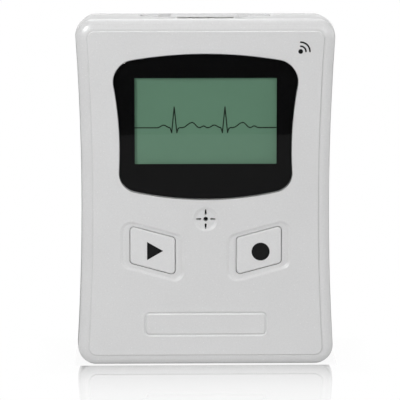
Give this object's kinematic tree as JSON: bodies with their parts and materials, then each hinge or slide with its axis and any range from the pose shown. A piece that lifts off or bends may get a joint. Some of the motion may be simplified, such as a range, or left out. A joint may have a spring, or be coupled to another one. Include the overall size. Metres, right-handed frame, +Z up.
{
  "type": "holter monitor",
  "caption": "Pocket heart recorder: waisted two-part case, lens over a green display with a heart trace, leaning play and record buttons, lead socket on top, hinged battery door behind.",
  "frame": {"origin": "middle of the flat base that the case stands on, centred in width and depth", "axes": "+Z up the case, +X to the right seen from the front, front face towards -Y"},
  "size_m": [0.0688, 0.022, 0.0929],
  "materials": {
    "case_plastic": "satin moulded, fine speckle",
    "button_plastic": "satin moulded",
    "lens_clear": "polished clear",
    "mask_black": "printed black",
    "tape_black": "matt film",
    "display_green": "reflective display",
    "display_ink": "dark crystal segments",
    "frame_white": "matt moulded",
    "light_panel": "clear light guide",
    "zebra_rubber": "layered silicone",
    "print_black": "printed ink",
    "switch_black": "moulded",
    "plunger_cream": "moulded",
    "thin_steel": "plated sheet",
    "screw_steel": "plated",
    "pin_steel": "drawn",
    "capsule_metal": "drawn",
    "boot_rubber": "soft",
    "felt_black": "felt",
    "board_green": "solder mask over glass laminate",
    "chip_black": "moulded resin",
    "crystal_can": "plated can",
    "capacitor_can": "drawn can",
    "ferrite_grey": "sintered",
    "antenna_ceramic": "fired",
    "socket_metal": "folded plated sheet",
    "tongue_black": "moulded",
    "contact_gold": "gilded",
    "cell_steel": "nickel plated",
    "sleeve_plastic": "shrunk film",
    "contact_steel": "nickel plated spring sheet",
    "insert_brass": "knurled"
  },
  "bodies": {
    "recorder": {"front_cover": "case_plastic", "rear_cover": "case_plastic", "hinge_pin": "pin_steel", "lens_window": "lens_clear", "lens_mask": "mask_black", "lens_tape": "tape_black", "display_glass": "display_green", "display_trace": "display_ink", "display_frame": "frame_white", "display_backlight": "light_panel", "zebra_strip": "zebra_rubber", "switch_bodies": "switch_black", "switch_covers": "thin_steel", "signal_sign": "print_black", "microphone": "capsule_metal", "microphone_boot": "boot_rubber", "microphone_felt": "felt_black", "main_board": "board_green", "processor_chip": "chip_black", "memory_chip": "chip_black", "amplifier_chips": "chip_black", "crystal": "crystal_can", "capacitors": "capacitor_can", "power_inductor": "ferrite_grey", "antenna_chip": "antenna_ceramic", "socket_shell": "socket_metal", "socket_tongue": "tongue_black", "socket_contacts": "contact_gold", "battery_cells": "cell_steel", "battery_sleeves": "sleeve_plastic", "battery_plates": "contact_steel", "battery_springs": "contact_steel", "threaded_inserts": "insert_brass", "case_screws": "screw_steel", "board_screws": "screw_steel"},
    "play_key": {"play_button": "button_plastic", "play_symbol": "print_black", "play_plunger": "plunger_cream"},
    "record_key": {"record_button": "button_plastic", "record_symbol": "print_black", "record_plunger": "plunger_cream"},
    "door": {"battery_door": "case_plastic"}
  },
  "joints": [
    {"name": "play_press", "type": "slide", "parent": "recorder", "child": "play_key", "axis": [0, 1, 0], "range_m": [0, 0.0003], "stiffness_N_per_m": 3000, "springref_m": -0.0001},
    {"name": "record_press", "type": "slide", "parent": "recorder", "child": "record_key", "axis": [0, 1, 0], "range_m": [0, 0.0003], "stiffness_N_per_m": 3000, "springref_m": -0.0001},
    {"name": "door_hinge", "type": "hinge", "parent": "recorder", "child": "door", "pos_m": [-0.01395, 0.00965, 0.0347], "axis": [0, 0, 1], "range_deg": [0, 95]}
  ]
}
